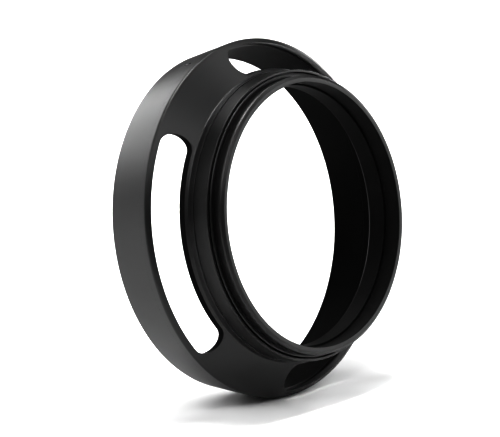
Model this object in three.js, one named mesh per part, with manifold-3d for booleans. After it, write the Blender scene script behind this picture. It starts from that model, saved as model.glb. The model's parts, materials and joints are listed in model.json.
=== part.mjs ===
// Vented screw-in lens hood, in millimetres, +Z up.
// The hood stands on the flat of its tapered front band, so its own axis rises towards the mount.
// Every ring is drawn as a profile of [radius, station]: stations run back from the front edge.
import * as THREE from 'three';
import { mergeVertices } from 'three/addons/utils/BufferGeometryUtils.js';
import Module from 'manifold-3d';

// ---- driving dimensions ----
const SEGMENTS = 72;                // flats round every ring; one of them lies on the table
const PIN_SEGMENTS = 12;
const CUT_PAST = 1;                 // how far a cutting solid runs on past the surface it cuts
const WELD = 1e-4;                  // points nearer than this are one point

const FRONT_RADIUS = 28.3;          // outside of the band at the front edge
const RIDGE_RADIUS = 30.0;          // sharp corner of band and vented cone, before rounding
const RIDGE_STATION = 9.0;
const RIDGE_ROUND = 0.5;            // radius of the rounded ridge
const BAND_WALL = 1.05;
const EDGE_CHAMFER = 0.25;

const NECK_RADIUS = 24.15;          // collar behind the cone
const NECK_STATION = 12.85;         // where the cone meets the collar
const CONE_WALL = 1.15;             // thickness of the cone, measured along the axis

const SPIGOT_RADIUS = 28.92;        // threaded spigot of the flange inside the rim
const SPIGOT_FRONT = 6.0;
const RIM_BACK = 7.5;               // rear end of the rim
const SEAM_GAP = 0.06;

const SLOT_COUNT = 3;
const SLOT_FIRST_ANGLE = -27.8;     // centre of the first vent, degrees from the top towards +X
const SLOT_HALF_ANGLE = 40.7;       // centre to tip
const SLOT_INNER = 24.6;
const SLOT_OUTER = 29.15;
const SLOT_FRONT = 7.95;            // depth the vents are milled to

const SLEEVE_RADIUS = 22.65;        // outside of the mount ring's sleeve
const SLEEVE_FRONT = 12.95;
const SLEEVE_BORE = 22.1;           // threaded for the retaining ring
const RUNNING_GAP = 0.1;
const RUNNING_BORE = SLEEVE_RADIUS + RUNNING_GAP;   // bore of every ring that sits round the sleeve
const HUB_FRONT = 13.0;
const HUB_BACK = 13.9;
const HUB_RECESS = 23.45;           // recess in the hub that takes the retaining ring's flange

const THREAD_RADIUS = 23.0;         // M46 x 0.75 male filter thread
const THREAD_FRONT = 18.4;
const THREAD_CHAMFER = 0.45;
const GROOVE_RADIUS = 22.3;
const HOOD_BACK = 19.2;
const LIP_RADIUS = 22.45;
const BORE_RADIUS = 21.8;
const BORE_STEP = 16.2;
const SEAT_STATION = 17.1;          // shoulder that stops against the lens
const SEAT_INNER = 23.1;
const SEAT_RELIEF = 0.1;
const SEAT_CHAMFER = 0.1;
const SHOULDER_RADIUS = 23.5;
const SHOULDER_FRONT = 16.4;

const RETAINER_BORE = 21.5;
const RETAINER_TUBE = 22.0;
const RETAINER_FLANGE = 23.3;
const RETAINER_FRONT = 12.1;
const RETAINER_UNDERSIDE = 12.6;
const RETAINER_BACK = 16.1;
const RETAINER_MOUTH = 22.4;        // mouth of the flare, which runs in to the bore
const FLARE_BACK = 13.0;
const SPANNER_SLOT_COUNT = 2;
const SPANNER_SLOT_WIDTH = 1.6;
const SPANNER_SLOT_DEPTH = 0.35;

const SPRING_MIDDLE = 12.735;
const SPRING_THICKNESS = 0.1;
const SPRING_WAVE = 0.04;
const SPRING_WAVES = 6;
const GLIDE_FRONT = 12.86;
const GLIDE_THICKNESS = 0.1;

const WASHER_FRONT = 13.95;
const WASHER_THICKNESS = 0.25;
const WASHER_RADIUS = 23.9;
const KEY_COUNT = 2;
const KEY_FIRST_ANGLE = 90;
const KEY_WIDTH = 1.6;
const KEY_INNER = 22.45;
const KEY_ROOT = 0.3;               // how far a key's block runs into the washer
const KEYWAY_WIDTH = 2.0;
const KEYWAY_RADIUS = 22.32;
const KEYWAY_BACK = 14.9;

const LOCK_RADIUS = 24.0;
const LOCK_FRONT = 14.25;
const LOCK_CHAMFER = 0.1;
const LOCK_WEB = 15.95;
const LOCK_BACK = 16.9;
const LOCK_SKIRT_BORE = 23.65;      // skirt round the outside of the mount's shoulder
const LOCK_TURN = 120;              // degrees between locked and free
const STOP_RADIUS = 23.12;          // pitch circle of the stop pin
const STOP_ANGLE = 200;
const STOP_PIN_RADIUS = 0.22;
const STOP_HOLE_RADIUS = 0.28;
const STOP_HOLE_BACK = 16.72;
const STOP_PIN_FRONT = 15.5;
const STOP_PIN_BACK = 16.68;
const STOP_NOTCH_INNER = 22.0;      // arc notch in the lock ring's bore that the pin runs in
const STOP_NOTCH_OUTER = 23.4;
const STOP_NOTCH_FRONT = 15.2;
const STOP_SLACK = 1;               // degrees of notch past each end of the turn

const MARK_ANGLE = 21.3;            // index mark on the band, degrees from the top towards +X
const MARK_STATION = 4.9;
const MARK_LENGTH = 2.0;
const MARK_WIDTH = 0.5;
const MARK_DEPTH = 0.3;
const MARK_GAP = 0.06;
const MARK_SUNK = 0.04;             // how far the paint lies below the band

// ---- finishes ----
const blackSatin = { color: 0x17181a, roughness: 0.42, metalness: 0.55 };
const blackMatte = { color: 0x101012, roughness: 0.6, metalness: 0.4 };
const springSteel = { color: 0x8c9096, roughness: 0.35, metalness: 1.0 };
const polymer = { color: 0xd8d6cf, roughness: 0.6, metalness: 0.0 };
const paintFill = { color: 0x3a3b3c, roughness: 0.7, metalness: 0.0 };

// ---- geometry helpers ----
const wasm = await Module();
wasm.setup();

const radians = (degrees) => degrees * Math.PI / 180;
const STEP = 2 * Math.PI / SEGMENTS;
const bandSlope = (RIDGE_RADIUS - FRONT_RADIUS) / RIDGE_STATION;
const bandRadius = (station) => FRONT_RADIUS + bandSlope * station;
const bandBore = (station) => bandRadius(station) - BAND_WALL;
const coneSlope = (NECK_STATION - RIDGE_STATION) / (RIDGE_RADIUS - NECK_RADIUS);
const coneStation = (radius) => RIDGE_STATION + (RIDGE_RADIUS - radius) * coneSlope;

function solidOf(geometry) {
  const bare = geometry.clone();
  bare.deleteAttribute('normal');
  bare.deleteAttribute('uv');
  const merged = mergeVertices(bare, WELD);
  return new wasm.Manifold(new wasm.Mesh({
    numProp: 3,
    vertProperties: new Float32Array(merged.attributes.position.array),
    triVerts: new Uint32Array(merged.index.array),
  }));
}

function geometryOf(solid) {
  const mesh = solid.getMesh();
  const geometry = new THREE.BufferGeometry();
  geometry.setAttribute('position', new THREE.BufferAttribute(mesh.vertProperties, 3));
  geometry.setIndex(new THREE.BufferAttribute(mesh.triVerts, 1));
  geometry.computeVertexNormals();
  return geometry;
}

// A ring turned about the hood's axis, +Y. The profile runs anticlockwise with radius to the right.
function turned(profile) {
  const points = [...profile, profile[0]].map(([radius, station]) => new THREE.Vector2(radius, station));
  return new THREE.LatheGeometry(points, SEGMENTS, STEP / 2, 2 * Math.PI);
}

function flatRing(inner, outer, front, thickness) {
  return turned([
    [inner, front],
    [outer, front],
    [outer, front + thickness],
    [inner, front + thickness],
  ]);
}

// A flat outline of x and z, pushed along the axis from one station to another.
function pushed(shape, front, back) {
  const geometry = new THREE.ExtrudeGeometry(shape, { depth: back - front, bevelEnabled: false });
  geometry.rotateX(Math.PI / 2);
  geometry.translate(0, back, 0);
  return geometry;
}

// An arc-shaped slot with round ends about the axis, centred on an angle from the top towards +X.
function arcSlot(middle, halfWidth, centreAngle, halfAngle) {
  const steps = 16;
  const capSteps = 6;
  const start = radians(centreAngle - halfAngle);
  const end = radians(centreAngle + halfAngle);
  const points = [];
  const at = (radius, angle) => new THREE.Vector2(radius * Math.sin(angle), radius * Math.cos(angle));
  const cap = (angle, from, to) => {
    const centre = at(middle, angle);
    for (let i = 1; i < capSteps; i += 1) {
      const turn = from + (to - from) * i / capSteps + angle;
      points.push(new THREE.Vector2(
        centre.x + halfWidth * Math.sin(turn),
        centre.y + halfWidth * Math.cos(turn),
      ));
    }
  };
  for (let i = 0; i <= steps; i += 1) {
    points.push(at(middle + halfWidth, start + (end - start) * i / steps));
  }
  cap(end, 0, Math.PI);
  for (let i = steps; i >= 0; i -= 1) {
    points.push(at(middle - halfWidth, start + (end - start) * i / steps));
  }
  cap(start, Math.PI, 2 * Math.PI);
  return new THREE.Shape(points);
}

// Points of the arc that rounds a profile's corner, given one point on each side of it.
function rounded(before, corner, after, radius, steps = 4) {
  const apex = new THREE.Vector2(...corner);
  const back = new THREE.Vector2(...before).sub(apex).normalize();
  const ahead = new THREE.Vector2(...after).sub(apex).normalize();
  const half = Math.acos(back.dot(ahead)) / 2;
  const inwards = back.clone().add(ahead).normalize();
  const centre = apex.clone().addScaledVector(inwards, radius / Math.sin(half));
  const from = apex.clone().addScaledVector(back, radius / Math.tan(half)).sub(centre);
  const sweep = (Math.PI - 2 * half) * Math.sign(from.cross(ahead));
  const points = [];
  for (let i = 0; i <= steps; i += 1) {
    const arm = from.clone().rotateAround(new THREE.Vector2(), sweep * i / steps);
    points.push([centre.x + arm.x, centre.y + arm.y]);
  }
  return points;
}

function boxAt(width, radialFrom, radialTo, front, back, angle) {
  const box = new THREE.BoxGeometry(width, back - front, radialTo - radialFrom);
  box.translate(0, (front + back) / 2, (radialFrom + radialTo) / 2);
  box.rotateY(radians(angle));
  return box;
}

// A round pin along the axis at the stop's place.
function pinAt(radius, front, back) {
  const pin = new THREE.CylinderGeometry(radius, radius, back - front, PIN_SEGMENTS);
  pin.translate(0, (front + back) / 2, STOP_RADIUS);
  pin.rotateY(radians(STOP_ANGLE));
  return pin;
}

function keyAngle(index) {
  return KEY_FIRST_ANGLE + index * 360 / KEY_COUNT;
}

// ---- the hood, about its own axis ----
const hood = new THREE.Group();

function add(name, geometry, finish) {
  const mesh = new THREE.Mesh(geometry, new THREE.MeshStandardMaterial(finish));
  mesh.name = name;
  hood.add(mesh);
}

// A stadium lying along the band on the mark's meridian, sunk below the band by the given depth.
function markBlank(clearance, depth, proud) {
  const half = MARK_LENGTH / 2 - MARK_WIDTH / 2;
  const radius = MARK_WIDTH / 2 - clearance;
  const outline = new THREE.Shape();
  outline.absarc(0, half, radius, 0, Math.PI, false);
  outline.absarc(0, -half, radius, Math.PI, 2 * Math.PI, false);
  const blank = new THREE.ExtrudeGeometry(outline, {
    depth: depth + proud,
    bevelEnabled: false,
    curveSegments: 6,
  });
  blank.translate(0, 0, -depth);
  blank.rotateX(-Math.atan2(RIDGE_RADIUS - FRONT_RADIUS, RIDGE_STATION));
  blank.translate(0, MARK_STATION, bandRadius(MARK_STATION));
  blank.rotateY(radians(MARK_ANGLE));
  return blank;
}

function frontRim() {
  const counterbore = SPIGOT_RADIUS + SEAM_GAP;
  const ring = turned([
    [FRONT_RADIUS - EDGE_CHAMFER, 0],
    [bandRadius(EDGE_CHAMFER), EDGE_CHAMFER],
    [bandRadius(RIM_BACK), RIM_BACK],
    [counterbore, RIM_BACK],
    [counterbore, SPIGOT_FRONT - SEAM_GAP],
    [bandBore(SPIGOT_FRONT), SPIGOT_FRONT - SEAM_GAP],
    [bandBore(EDGE_CHAMFER), EDGE_CHAMFER],
    [bandBore(0) + EDGE_CHAMFER, 0],
  ]);
  return geometryOf(solidOf(ring).subtract(solidOf(markBlank(0, MARK_DEPTH, CUT_PAST))));
}

function ventedFlange() {
  const skirtFront = RIM_BACK + SEAM_GAP;
  // where the cone's inside face meets the band's inside face
  const cornerStation = (coneStation(FRONT_RADIUS - BAND_WALL) - CONE_WALL) / (1 + bandSlope * coneSlope);
  const ring = turned([
    [bandBore(SPIGOT_FRONT), SPIGOT_FRONT],
    [SPIGOT_RADIUS, SPIGOT_FRONT],
    [SPIGOT_RADIUS, skirtFront],
    [bandRadius(skirtFront), skirtFront],
    ...rounded(
      [FRONT_RADIUS, 0], [RIDGE_RADIUS, RIDGE_STATION], [NECK_RADIUS, NECK_STATION], RIDGE_ROUND,
    ),
    [NECK_RADIUS, coneStation(NECK_RADIUS)],
    [NECK_RADIUS, HUB_BACK],
    [RUNNING_BORE, HUB_BACK],
    [RUNNING_BORE, HUB_FRONT],
    [HUB_RECESS, HUB_FRONT],
    [HUB_RECESS, coneStation(HUB_RECESS) - CONE_WALL],
    [bandBore(cornerStation), cornerStation],
  ]);
  let flange = solidOf(ring);
  const middle = (SLOT_OUTER + SLOT_INNER) / 2;
  const halfWidth = (SLOT_OUTER - SLOT_INNER) / 2;
  const capAngle = THREE.MathUtils.radToDeg(Math.asin(halfWidth / middle));
  for (let i = 0; i < SLOT_COUNT; i += 1) {
    const centre = SLOT_FIRST_ANGLE + i * 360 / SLOT_COUNT;
    const outline = arcSlot(middle, halfWidth, centre, SLOT_HALF_ANGLE - capAngle);
    flange = flange.subtract(solidOf(pushed(outline, SLOT_FRONT, NECK_STATION)));
  }
  return geometryOf(flange);
}

function mountRing() {
  const ring = turned([
    [SLEEVE_BORE, SLEEVE_FRONT],
    [SLEEVE_RADIUS, SLEEVE_FRONT],
    [SLEEVE_RADIUS, SHOULDER_FRONT],
    [SHOULDER_RADIUS, SHOULDER_FRONT],
    [SHOULDER_RADIUS, SEAT_STATION - SEAT_CHAMFER],
    [SHOULDER_RADIUS - SEAT_CHAMFER, SEAT_STATION],
    [SEAT_INNER, SEAT_STATION],
    [SEAT_INNER, SEAT_STATION - SEAT_RELIEF],
    [GROOVE_RADIUS, SEAT_STATION - SEAT_RELIEF],
    [GROOVE_RADIUS, THREAD_FRONT],
    [THREAD_RADIUS, THREAD_FRONT],
    [THREAD_RADIUS, HOOD_BACK - THREAD_CHAMFER],
    [LIP_RADIUS, HOOD_BACK],
    [BORE_RADIUS, HOOD_BACK],
    [BORE_RADIUS, BORE_STEP],
    [SLEEVE_BORE, BORE_STEP],
  ]);
  let solid = solidOf(ring);
  for (let i = 0; i < KEY_COUNT; i += 1) {
    const keyway = boxAt(
      KEYWAY_WIDTH, KEYWAY_RADIUS, SLEEVE_RADIUS + CUT_PAST,
      SLEEVE_FRONT - CUT_PAST, KEYWAY_BACK, keyAngle(i),
    );
    solid = solid.subtract(solidOf(keyway));
  }
  const hole = pinAt(STOP_HOLE_RADIUS, SHOULDER_FRONT - CUT_PAST, STOP_HOLE_BACK);
  return geometryOf(solid.subtract(solidOf(hole)));
}

function retainingRing() {
  const ring = turned([
    [RETAINER_MOUTH, RETAINER_FRONT],
    [RETAINER_FLANGE, RETAINER_FRONT],
    [RETAINER_FLANGE, RETAINER_UNDERSIDE],
    [RETAINER_TUBE, RETAINER_UNDERSIDE],
    [RETAINER_TUBE, RETAINER_BACK],
    [RETAINER_BORE, RETAINER_BACK],
    [RETAINER_BORE, FLARE_BACK],
  ]);
  let solid = solidOf(ring);
  for (let i = 0; i < SPANNER_SLOT_COUNT; i += 1) {
    const notch = boxAt(
      SPANNER_SLOT_WIDTH, RETAINER_BORE - CUT_PAST, RETAINER_FLANGE + CUT_PAST,
      RETAINER_FRONT - CUT_PAST, RETAINER_FRONT + SPANNER_SLOT_DEPTH, i * 360 / SPANNER_SLOT_COUNT,
    );
    solid = solid.subtract(solidOf(notch));
  }
  return geometryOf(solid);
}

// A flat spring strip closed into a ring, waved along the axis.
function waveSpring() {
  const front = SPRING_MIDDLE - SPRING_THICKNESS / 2;
  const ring = flatRing(RUNNING_BORE, RETAINER_FLANGE, front, SPRING_THICKNESS);
  const places = ring.attributes.position;
  for (let i = 0; i < places.count; i += 1) {
    const angle = Math.atan2(places.getX(i), places.getZ(i));
    places.setY(i, places.getY(i) + SPRING_WAVE * Math.cos(SPRING_WAVES * angle));
  }
  return ring;
}

function thrustWasher() {
  let solid = solidOf(flatRing(RUNNING_BORE, WASHER_RADIUS, WASHER_FRONT, WASHER_THICKNESS));
  for (let i = 0; i < KEY_COUNT; i += 1) {
    const key = boxAt(
      KEY_WIDTH, KEY_INNER, RUNNING_BORE + KEY_ROOT,
      WASHER_FRONT, WASHER_FRONT + WASHER_THICKNESS, keyAngle(i),
    );
    solid = solid.add(solidOf(key));
  }
  return geometryOf(solid);
}

function lockRing() {
  const ring = turned([
    [RUNNING_BORE, LOCK_FRONT],
    [LOCK_RADIUS - LOCK_CHAMFER, LOCK_FRONT],
    [LOCK_RADIUS, LOCK_FRONT + LOCK_CHAMFER],
    [LOCK_RADIUS, LOCK_BACK - LOCK_CHAMFER],
    [LOCK_RADIUS - LOCK_CHAMFER, LOCK_BACK],
    [LOCK_SKIRT_BORE, LOCK_BACK],
    [LOCK_SKIRT_BORE, LOCK_WEB],
    [RUNNING_BORE, LOCK_WEB],
  ]);
  // the pin stands at one end of the notch when locked and meets the other after LOCK_TURN
  const middle = (STOP_NOTCH_OUTER + STOP_NOTCH_INNER) / 2;
  const halfWidth = (STOP_NOTCH_OUTER - STOP_NOTCH_INNER) / 2;
  const outline = arcSlot(middle, halfWidth, STOP_ANGLE - LOCK_TURN / 2, LOCK_TURN / 2 + STOP_SLACK);
  return geometryOf(solidOf(ring).subtract(solidOf(pushed(outline, STOP_NOTCH_FRONT, LOCK_BACK))));
}

function stopPin() {
  return pinAt(STOP_PIN_RADIUS, STOP_PIN_FRONT, STOP_PIN_BACK);
}

add('front_rim', frontRim(), blackSatin);
add('vented_flange', ventedFlange(), blackSatin);
add('index_mark', markBlank(MARK_GAP, MARK_DEPTH - MARK_GAP, -MARK_SUNK), paintFill);
add('mount_ring', mountRing(), blackSatin);
add('retaining_ring', retainingRing(), blackMatte);
add('wave_spring', waveSpring(), springSteel);
add('glide_washer', flatRing(RUNNING_BORE, RETAINER_FLANGE, GLIDE_FRONT, GLIDE_THICKNESS), polymer);
add('thrust_washer', thrustWasher(), springSteel);
add('lock_ring', lockRing(), blackSatin);
add('stop_pin', stopPin(), springSteel);

// ---- stand it on the band ----
const flat = Math.cos(STEP / 2);
const lean = Math.atan2((RIDGE_RADIUS - FRONT_RADIUS) * flat, RIDGE_STATION);
hood.rotation.x = lean;
const part = new THREE.Group();
part.add(hood);
part.updateMatrixWorld(true);
const box = new THREE.Box3().setFromObject(part, true);
hood.position.y = -(box.min.y + box.max.y) / 2;
hood.position.z = -box.min.z;

export default part;
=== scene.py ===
import json
import math

import bmesh
import bpy
from mathutils import Matrix, Vector


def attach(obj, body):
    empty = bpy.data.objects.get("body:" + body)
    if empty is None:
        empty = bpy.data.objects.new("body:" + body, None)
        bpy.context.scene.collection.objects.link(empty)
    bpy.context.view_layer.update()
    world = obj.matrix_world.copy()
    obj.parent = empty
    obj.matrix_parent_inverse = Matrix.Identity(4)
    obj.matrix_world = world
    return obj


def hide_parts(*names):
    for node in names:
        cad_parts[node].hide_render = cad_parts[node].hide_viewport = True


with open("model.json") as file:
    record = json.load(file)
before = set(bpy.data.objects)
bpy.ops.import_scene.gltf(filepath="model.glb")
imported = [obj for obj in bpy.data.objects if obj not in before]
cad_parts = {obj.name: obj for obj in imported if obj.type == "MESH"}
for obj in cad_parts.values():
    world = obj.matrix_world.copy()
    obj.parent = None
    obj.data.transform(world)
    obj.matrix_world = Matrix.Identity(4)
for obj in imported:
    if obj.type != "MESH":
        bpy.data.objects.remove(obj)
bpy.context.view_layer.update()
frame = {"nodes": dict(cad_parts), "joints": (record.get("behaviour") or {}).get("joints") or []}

# The hood is drawn about its own axis: stations run back from the front edge, in millimetres,
# and angles run from its top towards +X. hood_place then stands it where the CAD model stands.
MM = 0.001
SEGMENTS = 288
TURN_STATION = 9.0                  # station of the point that the hood_turn joint states

# ---- dimensions, in millimetres ----
FRONT_RADIUS = 28.3
RIDGE_RADIUS = 30.0
RIDGE_STATION = 9.0
RIDGE_ROUND = 0.5
FRONT_ROUND = 0.22
BAND_WALL = 1.05
SEAM = 7.5
SEAM_GAP = 0.012
SPIGOT_RADIUS = 28.92
SPIGOT_FRONT = 6.0
NECK_RADIUS = 24.15
NECK_STATION = 12.85
CONE_WALL = 1.15
CONE_FOOT_ROUND = 0.3             # cone into neck
CONE_INSIDE_ROUND = 0.15
SLOT_COUNT = 3
SLOT_FIRST_ANGLE = -27.8
SLOT_HALF_ANGLE = 40.7
SLOT_INNER = 24.6
SLOT_OUTER = 29.15
SLOT_FRONT = 7.95
SLOT_BACK = 14.0
SLOT_EDGE = 0.03                    # broken edge round each vent
SLOT_SIDE_STEPS = 60
SLOT_CAP_STEPS = 20
SLEEVE_RADIUS = 22.65
SLEEVE_BORE = 22.1
SLEEVE_FRONT = 12.95
RUNNING_GAP = 0.1
RUNNING_BORE = SLEEVE_RADIUS + RUNNING_GAP
HUB_FRONT = 13.0
HUB_BACK = 13.98
HUB_RECESS = 23.45                  # takes the retaining ring's flange
EDGE_ROUND = 0.05
LOCK_RADIUS = 24.05
LOCK_FRONT = 14.04
LOCK_WEB = 15.95
LOCK_BACK = 16.9
LOCK_SKIRT_BORE = 23.65
LOCK_ROUND = 0.12
LOCK_SKIRT_ROUND = 0.04
THREAD_RADIUS = 23.0
THREAD_DEPTH = 0.16
THREAD_PITCH = 0.75
THREAD_CREST = 1.5                  # above 1 widens the crests
THREAD_FRONT = 18.4
HOOD_BACK = 19.2
LAND_BACK = HOOD_BACK - 0.3
LAND_STEPS = 14
LAND_CHAMFER = 0.1
LAND_BREAK = 0.02
LIP_RADIUS = 22.55
LIP_ROUND = 0.18
REAR_BORE_ROUND = 0.08
BORE_RADIUS = 21.8
BORE_STEP = 16.2
GROOVE_RADIUS = 22.3
GROOVE_ROUND = 0.1
SHOULDER_RADIUS = 23.5
SHOULDER_FRONT = 16.37
SHOULDER_ROUND = 0.3
SEAT_STATION = 17.1
SEAT_INNER = 23.1
SEAT_DISH = 0.1                     # the seat falls away towards the groove
RETAINER_BORE = 21.5
RETAINER_TUBE = 22.0
RETAINER_FLANGE = 23.3
RETAINER_FRONT = 12.1
RETAINER_UNDERSIDE = 12.6
RETAINER_BACK = 16.1
RETAINER_MOUTH = 22.4
RETAINER_MOUTH_BACK = 13.0
RETAINER_MOUTH_ROUND = 0.3
RETAINER_FLANGE_ROUND = 0.08
RETAINER_TUBE_ROUND = 0.06
SPANNER_SLOT_WIDTH = 1.6
SPANNER_SLOT_INNER = 20.5
SPANNER_SLOT_OUTER = 24.3
SPANNER_SLOT_FRONT = 11.0
SPANNER_SLOT_FLOOR = 12.45
MARK_ANGLE = 21.3
MARK_WIDTH = 0.5
MARK_DEPTH = 0.12
MARK_SUNK = 0.05                    # how far the filling lies below the band
MARK_PLAY = 0.02
MARK_CUT_PAST = 1.0
MARK_DOT = (4.45, 0.0)              # centre station, half length of the straight part
MARK_DASH = (5.55, 0.35)

BAND_SLOPE = (RIDGE_RADIUS - FRONT_RADIUS) / RIDGE_STATION
CONE_SLOPE = (NECK_STATION - RIDGE_STATION) / (RIDGE_RADIUS - NECK_RADIUS)

# ---- finish ----
WALL_TILT = 0.05                    # a vent's wall runs along the axis within this
VENT_WALL_BACK = NECK_STATION - 0.1
FACES_INWARDS = -0.5
FACES_FORWARDS = -0.6
NOISE_LOW, NOISE_HIGH = 0.3, 0.7    # the part of the noise's range that is used

# ---- camera ----
DISPLAY_GAMMA = 0.65
CAMERA_AZIMUTH = 130.38
CAMERA_ELEVATION = 12.16
CAMERA_DISTANCE = 505.07            # from the centre of the front edge, along the view
CAMERA_OFFSET = (3.517, 0.268)      # how far that centre lies left of and below the line of sight
CAMERA_LENS = 216.0
CAMERA_SENSOR = 36.0

# ---- light ----
# A low ring of small boxes that the satin rings catch along their edges, and a high ring of larger
# ones. Azimuth is from the camera's own, towards its right, and power is in watts.
LIGHT_DISTANCE = 1.5
LIGHT_AIM_HEIGHT = 0.03
LOW = (8.0, 0.4)                    # elevation in degrees, side in metres
SIDE = (16.0, 0.9)
HIGH = (45.0, 0.7)
TOP = (70.0, 0.9)
SOFTBOXES = (
    ("right_low", 105.0, LOW, 6.0),
    ("back_right_low", 165.0, LOW, 14.0),
    ("back_left_low", 210.0, LOW, 12.0),
    ("left_low", 225.0, LOW, 8.0),
    ("left_side", 265.0, SIDE, 4.0),
    ("front_right_high", 36.0, HIGH, 9.0),
    ("right_high", 108.0, HIGH, 6.0),
    ("back_left_high", 216.0, HIGH, 4.0),
    ("front_left_high", 324.0, HIGH, 12.0),
    ("top", 180.0, TOP, 8.0),
)
FLOOR_LIGHT_AZIMUTH = 240.0
FLOOR_LIGHT_REACH = 0.24            # metres out from the hood
FLOOR_LIGHT_SIDE = 0.6
FLOOR_LIGHT_SPREAD = 30.0
FLOOR_LIGHT_POWER = 2.0
FLOOR_HALF_SIDE = 4.0
FLOOR_DROP = 0.0002                 # keeps the floor just clear of the hood


def hood_place():
    joint = next(j for j in frame["joints"] if j["name"] == "hood_turn")
    back = Vector(joint["axis"]).normalized()
    right = Vector((1.0, 0.0, 0.0))
    up = right.cross(back)
    front_centre = Vector(joint["pos_m"]) - back * TURN_STATION * MM
    place = Matrix((right, back, up)).transposed().to_4x4()
    place.translation = front_centre
    return place


HOOD = hood_place()


# ---- mesh helpers ----
def rounded(profile, steps=6):
    """Profile corners given as (radius, station, fillet) become arcs; the others stay sharp."""
    count = len(profile)
    points = []
    for i, corner in enumerate(profile):
        apex = Vector(corner[:2])
        fillet = corner[2] if len(corner) > 2 else 0.0
        if not fillet:
            points.append(tuple(apex))
            continue
        back = (Vector(profile[i - 1][:2]) - apex).normalized()
        ahead = (Vector(profile[(i + 1) % count][:2]) - apex).normalized()
        half = back.angle(ahead) / 2
        centre = apex + (back + ahead).normalized() * fillet / math.sin(half)
        start = apex + back * fillet / math.tan(half) - centre
        turn = math.pi - 2 * half
        if start.x * ahead.y - start.y * ahead.x < 0:
            turn = -turn
        for k in range(steps + 1):
            angle = turn * k / steps
            points.append((
                centre.x + start.x * math.cos(angle) - start.y * math.sin(angle),
                centre.y + start.x * math.sin(angle) + start.y * math.cos(angle),
            ))
    return points


def around(radius, station, angle):
    return Vector((radius * math.sin(angle), station, radius * math.cos(angle)))


def mesh_of(name, bm):
    bmesh.ops.remove_doubles(bm, verts=bm.verts, dist=1e-5)
    bmesh.ops.recalc_face_normals(bm, faces=bm.faces)
    mesh = bpy.data.meshes.new(name)
    bm.to_mesh(mesh)
    bm.free()
    return mesh


def lathe(name, profile, radius_at=None):
    """A closed profile turned about the hood's axis. radius_at(radius, station, angle) may cut a thread."""
    bm = bmesh.new()
    rings = []
    for i in range(SEGMENTS):
        angle = 2 * math.pi * i / SEGMENTS
        ring = []
        for radius, station in profile:
            if radius_at:
                radius = radius_at(radius, station, angle)
            ring.append(bm.verts.new(around(radius, station, angle)))
        rings.append(ring)
    count = len(profile)
    for i in range(SEGMENTS):
        this, following = rings[i], rings[(i + 1) % SEGMENTS]
        for j in range(count):
            k = (j + 1) % count
            bm.faces.new((this[j], this[k], following[k], following[j]))
    return mesh_of(name, bm)


def stacked(name, rings):
    """A closed skin through equal rings of points, capped at both ends."""
    bm = bmesh.new()
    made = [[bm.verts.new(p) for p in ring] for ring in rings]
    count = len(made[0])
    for lower, upper in zip(made, made[1:]):
        for j in range(count):
            k = (j + 1) % count
            bm.faces.new((lower[j], lower[k], upper[k], upper[j]))
    bm.faces.new(made[0])
    bm.faces.new(made[-1])
    return mesh_of(name, bm)


def thing(name, mesh):
    obj = bpy.data.objects.new(name, mesh)
    bpy.context.scene.collection.objects.link(obj)
    return obj


def cut(mesh, cutters):
    """The mesh less every cutter mesh."""
    obj = thing("cut_target", mesh)
    tools = [thing("cut_tool", cutter) for cutter in cutters]
    for tool in tools:
        modifier = obj.modifiers.new("cut", "BOOLEAN")
        modifier.operation = "DIFFERENCE"
        modifier.solver = "EXACT"
        modifier.object = tool
    bpy.context.view_layer.update()
    result = bpy.data.meshes.new_from_object(obj.evaluated_get(bpy.context.evaluated_depsgraph_get()))
    for used in [obj, *tools]:
        bpy.data.objects.remove(used)
    return result


def matt_inside(mesh):
    """Gives the second material to faces that look inwards or forwards, and to the vents' walls.

    The vents' outer walls keep the first one, as they are milled through the satin cone."""
    for face in mesh.polygons:
        centre, normal = face.center, face.normal
        outwards = Vector((centre.x, 0.0, centre.z)).normalized()
        vent_wall = abs(normal.y) < WALL_TILT and centre.y < VENT_WALL_BACK
        inwards = normal.dot(outwards) < FACES_INWARDS
        forwards = normal.y < FACES_FORWARDS and centre.y > SEAM
        if inwards != vent_wall or forwards:
            face.material_index = 1


def piece(name, mesh, body, slot, materials, *nodes):
    mesh.materials.clear()
    for material in materials:
        mesh.materials.append(material)
    if len(materials) > 1:
        matt_inside(mesh)
    mesh.transform(HOOD @ Matrix.Scale(MM, 4))
    mesh.polygons.foreach_set("use_smooth", [True] * len(mesh.polygons))
    mesh.set_sharp_from_angle(angle=math.radians(35))
    obj = thing(name, mesh)
    evened = obj.modifiers.new("evened", "WEIGHTED_NORMAL")
    evened.keep_sharp = True
    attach(obj, body)
    if nodes:
        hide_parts(*nodes)
    return obj


# ---- materials ----
def new_material(name):
    """A material whose name differs from the CAD file's own."""
    material = bpy.data.materials.new(name + "_finish")
    material.use_nodes = True
    shader = material.node_tree.nodes["Principled BSDF"]
    return material, shader


def noise(material, scale, detail=3.0):
    nodes, links = material.node_tree.nodes, material.node_tree.links
    place = nodes.new("ShaderNodeTexCoord")
    texture = nodes.new("ShaderNodeTexNoise")
    texture.inputs["Scale"].default_value = scale
    texture.inputs["Detail"].default_value = detail
    links.new(place.outputs["Object"], texture.inputs["Vector"])
    return texture.outputs["Fac"]


def spread(material, source, low, high):
    """The noise carried to low..high."""
    node = material.node_tree.nodes.new("ShaderNodeMapRange")
    node.inputs["From Min"].default_value = NOISE_LOW
    node.inputs["From Max"].default_value = NOISE_HIGH
    node.inputs["To Min"].default_value = low
    node.inputs["To Max"].default_value = high
    material.node_tree.links.new(source, node.inputs["Value"])
    return node.outputs["Result"]


def grey_ramp(material, source, low, high):
    node = material.node_tree.nodes.new("ShaderNodeValToRGB")
    first, last = node.color_ramp.elements
    first.position, last.position = NOISE_LOW, NOISE_HIGH
    first.color = (*low, 1.0)
    last.color = (*high, 1.0)
    material.node_tree.links.new(source, node.inputs["Fac"])
    return node.outputs["Color"]


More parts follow.
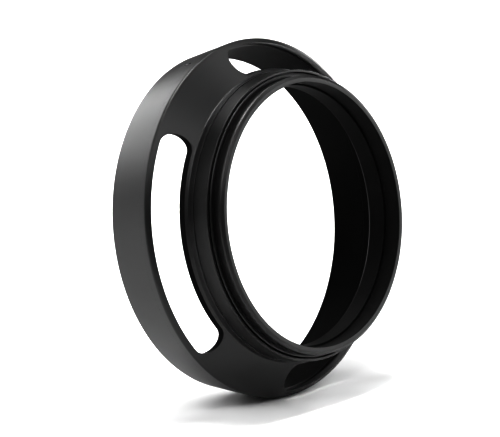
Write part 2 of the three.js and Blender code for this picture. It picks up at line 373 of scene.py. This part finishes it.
def grain(material, shader, source, strength, distance):
    node = material.node_tree.nodes.new("ShaderNodeBump")
    node.inputs["Strength"].default_value = strength
    node.inputs["Distance"].default_value = distance
    material.node_tree.links.new(source, node.inputs["Height"])
    material.node_tree.links.new(node.outputs["Normal"], shader.inputs["Normal"])


def metal_finish(name, low, high, metallic, rough_low, rough_high, bump, specular=0.5):
    material, shader = new_material(name)
    links = material.node_tree.links
    shader.inputs["Metallic"].default_value = metallic
    shader.inputs["Specular IOR Level"].default_value = specular
    cloud = noise(material, 120.0)
    fine = noise(material, 9000.0, detail=2.0)
    links.new(grey_ramp(material, cloud, low, high), shader.inputs["Base Color"])
    links.new(spread(material, cloud, rough_low, rough_high), shader.inputs["Roughness"])
    grain(material, shader, fine, bump, 2e-6)
    return material


SATIN = metal_finish(
    "satin_black", (0.0045, 0.0045, 0.0046), (0.0065, 0.0065, 0.0066), 0.0, 0.38, 0.42, 0.25)
BORE = metal_finish(
    "bore_black", (0.005, 0.005, 0.005), (0.008, 0.008, 0.008), 0.0, 0.62, 0.70, 0.35,
    specular=0.05)
STEEL = metal_finish(
    "spring_steel", (0.42, 0.43, 0.45), (0.56, 0.57, 0.59), 1.0, 0.28, 0.38, 0.2)
NYLON = metal_finish(
    "nylon", (0.70, 0.69, 0.64), (0.80, 0.79, 0.74), 0.0, 0.50, 0.60, 0.1)
MARK = metal_finish(
    "mark_fill", (0.05, 0.05, 0.052), (0.08, 0.08, 0.082), 0.0, 0.60, 0.70, 0.3)


# ---- pieces ----
def band_radius(station):
    return FRONT_RADIUS + BAND_SLOPE * station


def band_bore(station):
    return band_radius(station) - BAND_WALL


def cone_station(radius):
    return RIDGE_STATION + (RIDGE_RADIUS - radius) * CONE_SLOPE


def mark_cutter(station, half, depth, proud, width):
    """A short round-ended bar lying along the band at the mark's angle."""
    outline = []
    steps = 12
    for side in (1, -1):
        for k in range(steps + 1):
            angle = math.pi * k / steps + (0 if side > 0 else math.pi)
            outline.append((
                width / 2 * math.cos(angle),
                side * half + width / 2 * math.sin(angle),
            ))
    rings = []
    turn = Matrix.Rotation(math.radians(MARK_ANGLE), 4, "Y")
    tilt = Matrix.Rotation(-math.atan(BAND_SLOPE), 4, "X")
    for height in (-depth, proud):
        ring = []
        for x, y in outline:
            point = tilt @ Vector((x, y, height)) + Vector((0.0, station, band_radius(station)))
            ring.append(turn @ point)
        rings.append(ring)
    return rings


def front_rim():
    counterbore = SPIGOT_RADIUS + SEAM_GAP
    profile = rounded([
        (FRONT_RADIUS, 0.0, FRONT_ROUND),
        (band_radius(SEAM), SEAM),
        (counterbore, SEAM),
        (counterbore, SPIGOT_FRONT - SEAM_GAP),
        (band_bore(SPIGOT_FRONT), SPIGOT_FRONT - SEAM_GAP),
        (band_bore(0.0), 0.0, FRONT_ROUND),
    ])
    mesh = lathe("front_rim", profile)
    cutters = [
        stacked("mark", mark_cutter(station, half, MARK_DEPTH, MARK_CUT_PAST, MARK_WIDTH))
        for station, half in (MARK_DOT, MARK_DASH)
    ]
    return cut(mesh, cutters)


def index_mark():
    bm = bmesh.new()
    for station, half in (MARK_DOT, MARK_DASH):
        part = stacked("mark", mark_cutter(
            station, half, MARK_DEPTH, -MARK_SUNK, MARK_WIDTH - MARK_PLAY))
        bm.from_mesh(part)
        bpy.data.meshes.remove(part)
    return mesh_of("index_mark", bm)


def slot_outline(grow):
    """Points (x, z) of a round-ended arc centred on the top, pushed out by grow."""
    middle = (SLOT_INNER + SLOT_OUTER) / 2
    half_width = (SLOT_OUTER - SLOT_INNER) / 2
    end = math.radians(SLOT_HALF_ANGLE) - math.asin(half_width / middle)
    reach = half_width + grow

    def on_circle(radius, angle):
        return Vector((radius * math.sin(angle), radius * math.cos(angle)))

    sweep = [-end + 2 * end * k / SLOT_SIDE_STEPS for k in range(SLOT_SIDE_STEPS + 1)]
    turns = [math.pi * k / SLOT_CAP_STEPS for k in range(1, SLOT_CAP_STEPS)]
    outer = [on_circle(middle + reach, angle) for angle in sweep]
    inner = [on_circle(middle - reach, angle) for angle in reversed(sweep)]
    last_cap = [on_circle(middle, end) + on_circle(reach, end + turn) for turn in turns]
    first_cap = [on_circle(middle, -end) + on_circle(reach, math.pi - end + turn) for turn in turns]
    return outer + last_cap + inner + first_cap


def slot_cutter(index):
    """Straight walls along the axis, with a broken edge where they meet the cone."""
    angle = math.radians(SLOT_FIRST_ANGLE + index * 360 / SLOT_COUNT)
    turn = Matrix.Rotation(angle, 4, "Y")
    tight, wide = slot_outline(0.0), slot_outline(SLOT_EDGE * 3)
    rings = [[], [], [], []]
    for inner, outer in zip(tight, wide):
        surface = cone_station(inner.length)
        rings[0].append(turn @ Vector((inner.x, SLOT_FRONT, inner.y)))
        rings[1].append(turn @ Vector((inner.x, surface - SLOT_EDGE, inner.y)))
        rise = SLOT_EDGE * 2
        rings[2].append(turn @ Vector((outer.x, cone_station(outer.length) + rise, outer.y)))
        rings[3].append(turn @ Vector((outer.x, SLOT_BACK, outer.y)))
    return stacked("slot", rings)


def vented_flange():
    skirt = SEAM + SEAM_GAP
    # where the cone's inside face meets the band's inside face
    corner = (cone_station(FRONT_RADIUS - BAND_WALL) - CONE_WALL) / (1 + BAND_SLOPE * CONE_SLOPE)
    profile = rounded([
        (band_bore(SPIGOT_FRONT), SPIGOT_FRONT),
        (SPIGOT_RADIUS, SPIGOT_FRONT),
        (SPIGOT_RADIUS, skirt),
        (band_radius(skirt), skirt),
        (RIDGE_RADIUS, RIDGE_STATION, RIDGE_ROUND),
        (NECK_RADIUS, cone_station(NECK_RADIUS), CONE_FOOT_ROUND),
        (NECK_RADIUS, HUB_BACK, EDGE_ROUND),
        (RUNNING_BORE, HUB_BACK),
        (RUNNING_BORE, HUB_FRONT),
        (HUB_RECESS, HUB_FRONT),
        (HUB_RECESS, cone_station(HUB_RECESS) - CONE_WALL),
        (band_bore(corner), corner, CONE_INSIDE_ROUND),
    ])
    mesh = lathe("vented_flange", profile)
    return cut(mesh, [slot_cutter(i) for i in range(SLOT_COUNT)])


def lock_ring():
    return lathe("lock_ring", rounded([
        (RUNNING_BORE, LOCK_FRONT),
        (LOCK_RADIUS, LOCK_FRONT, EDGE_ROUND),
        (LOCK_RADIUS, LOCK_BACK, LOCK_ROUND),
        (LOCK_SKIRT_BORE, LOCK_BACK, LOCK_SKIRT_ROUND),
        (LOCK_SKIRT_BORE, LOCK_WEB),
        (RUNNING_BORE, LOCK_WEB),
    ]))


def mount_ring():
    """Sleeve, shoulder, groove and a turn of thread on the land."""
    profile = rounded([
        (SLEEVE_BORE, SLEEVE_FRONT),
        (SLEEVE_RADIUS, SLEEVE_FRONT),
        (SLEEVE_RADIUS, SHOULDER_FRONT),
        (SHOULDER_RADIUS, SHOULDER_FRONT, EDGE_ROUND),
        (SHOULDER_RADIUS, SEAT_STATION, SHOULDER_ROUND),
        (SEAT_INNER, SEAT_STATION),
        (GROOVE_RADIUS, SEAT_STATION - SEAT_DISH, GROOVE_ROUND),
        (GROOVE_RADIUS, THREAD_FRONT, GROOVE_ROUND),
    ])
    profile.append((THREAD_RADIUS - LAND_CHAMFER, THREAD_FRONT))
    for k in range(1, LAND_STEPS + 1):
        profile.append((THREAD_RADIUS, THREAD_FRONT + (LAND_BACK - THREAD_FRONT) * k / LAND_STEPS))
    profile += rounded([
        (THREAD_RADIUS - LAND_BREAK, LAND_BACK + LAND_BREAK),
        (LIP_RADIUS, HOOD_BACK, LIP_ROUND),
        (BORE_RADIUS, HOOD_BACK, REAR_BORE_ROUND),
        (BORE_RADIUS, BORE_STEP),
        (SLEEVE_BORE, BORE_STEP),
    ])

    def threaded(radius, station, angle):
        # only the points that lie on the land itself are cut
        if radius < THREAD_RADIUS - LAND_BREAK / 4:
            return radius
        phase = (station / THREAD_PITCH - angle / (2 * math.pi)) % 1.0
        return radius - THREAD_DEPTH * abs(2 * phase - 1) ** THREAD_CREST

    return lathe("mount_ring", profile, threaded)


def spanner_slot(angle):
    turn = Matrix.Rotation(math.radians(angle), 4, "Y")
    side = SPANNER_SLOT_WIDTH / 2
    outline = (
        (-side, SPANNER_SLOT_INNER),
        (side, SPANNER_SLOT_INNER),
        (side, SPANNER_SLOT_OUTER),
        (-side, SPANNER_SLOT_OUTER),
    )
    return stacked("spanner_slot", [
        [turn @ Vector((x, station, z)) for x, z in outline]
        for station in (SPANNER_SLOT_FRONT, SPANNER_SLOT_FLOOR)
    ])


def retaining_ring():
    mesh = lathe("retaining_ring", rounded([
        (RETAINER_MOUTH, RETAINER_FRONT, EDGE_ROUND),
        (RETAINER_FLANGE, RETAINER_FRONT, RETAINER_FLANGE_ROUND),
        (RETAINER_FLANGE, RETAINER_UNDERSIDE),
        (RETAINER_TUBE, RETAINER_UNDERSIDE),
        (RETAINER_TUBE, RETAINER_BACK),
        (RETAINER_BORE, RETAINER_BACK, RETAINER_TUBE_ROUND),
        (RETAINER_BORE, RETAINER_MOUTH_BACK, RETAINER_MOUTH_ROUND),
    ]))
    return cut(mesh, [spanner_slot(angle) for angle in (0, 180)])


piece("rim", front_rim(), "shell", "satin_black", (SATIN, BORE), "front_rim")
piece("flange", vented_flange(), "shell", "satin_black", (SATIN, BORE), "vented_flange")
piece("mark", index_mark(), "shell", "mark_fill", (MARK,), "index_mark")
piece("collar", lock_ring(), "lock", "satin_black", (SATIN,), "lock_ring")
piece("mount", mount_ring(), "mount", "satin_black", (SATIN, BORE), "mount_ring")
piece("retainer", retaining_ring(), "mount", "bore_black", (BORE,), "retaining_ring")

finishes = {"wave_spring": STEEL, "glide_washer": NYLON, "thrust_washer": STEEL, "stop_pin": STEEL}
for node, material in finishes.items():
    mesh = frame["nodes"][node].data
    mesh.materials.clear()
    mesh.materials.append(material)


# ---- floor, light and camera ----
def floor():
    bm = bmesh.new()
    bmesh.ops.create_grid(bm, x_segments=1, y_segments=1, size=FLOOR_HALF_SIDE)
    obj = thing("floor", mesh_of("floor", bm))
    material, shader = new_material("floor")
    shader.inputs["Base Color"].default_value = (0.86, 0.86, 0.86, 1.0)
    shader.inputs["Roughness"].default_value = 0.9
    obj.data.materials.append(material)
    obj.location.z = -FLOOR_DROP


def towards(azimuth, elevation):
    """The direction from the hood to a camera or a light; azimuth 0 is in front of it."""
    az, el = math.radians(azimuth), math.radians(elevation)
    return Vector((math.sin(az) * math.cos(el), -math.cos(az) * math.cos(el), math.sin(el)))


def square_light(name, side, power):
    data = bpy.data.lights.new(name, "AREA")
    data.shape = "SQUARE"
    data.size = side
    data.energy = power
    obj = bpy.data.objects.new(name, data)
    bpy.context.scene.collection.objects.link(obj)
    return obj


def floor_light(name):
    """A gridded box straight above the floor, beside the hood."""
    obj = square_light(name, FLOOR_LIGHT_SIDE, FLOOR_LIGHT_POWER)
    obj.data.spread = math.radians(FLOOR_LIGHT_SPREAD)
    obj.location = towards(CAMERA_AZIMUTH + FLOOR_LIGHT_AZIMUTH, 0.0) * FLOOR_LIGHT_REACH
    obj.location.z = LIGHT_DISTANCE


def softbox(name, azimuth, elevation, side, power):
    """A light aimed at the hood, placed by the same angles as a camera would be."""
    back = towards(CAMERA_AZIMUTH + azimuth, elevation)
    obj = square_light(name, side, power)
    obj.location = Vector((0.0, 0.0, LIGHT_AIM_HEIGHT)) + back * LIGHT_DISTANCE
    obj.rotation_mode = "QUATERNION"
    obj.rotation_quaternion = back.to_track_quat("Z", "Y")


floor()
for name, azimuth, (elevation, side), power in SOFTBOXES:
    softbox(name, azimuth, elevation, side, power)
floor_light("floor_back_left")

scene = bpy.context.scene
scene.view_settings.view_transform = "Standard"
scene.view_settings.gamma = DISPLAY_GAMMA


def backdrop():
    """Pale where the camera sees it, and giving the hood no light of its own."""
    world = bpy.data.worlds.new("studio")
    world.use_nodes = True
    nodes, links = world.node_tree.nodes, world.node_tree.links
    background = nodes["Background"]
    background.inputs["Color"].default_value = (1.0, 1.0, 1.0, 1.0)
    path = nodes.new("ShaderNodeLightPath")
    links.new(path.outputs["Is Camera Ray"], background.inputs["Strength"])
    return world


scene.world = backdrop()

back = towards(CAMERA_AZIMUTH, CAMERA_ELEVATION)
right = Vector((0.0, 0.0, 1.0)).cross(back).normalized()
up = back.cross(right)
camera = bpy.data.objects.new("camera", bpy.data.cameras.new("camera"))
scene.collection.objects.link(camera)
camera.data.lens = CAMERA_LENS
camera.data.sensor_width = CAMERA_SENSOR
camera.data.clip_start, camera.data.clip_end = 0.01, 20.0
camera.location = HOOD.translation + MM * (
    right * CAMERA_OFFSET[0] + up * CAMERA_OFFSET[1] + back * CAMERA_DISTANCE)
camera.rotation_mode = "QUATERNION"
camera.rotation_quaternion = back.to_track_quat("Z", "Y")
scene.camera = camera
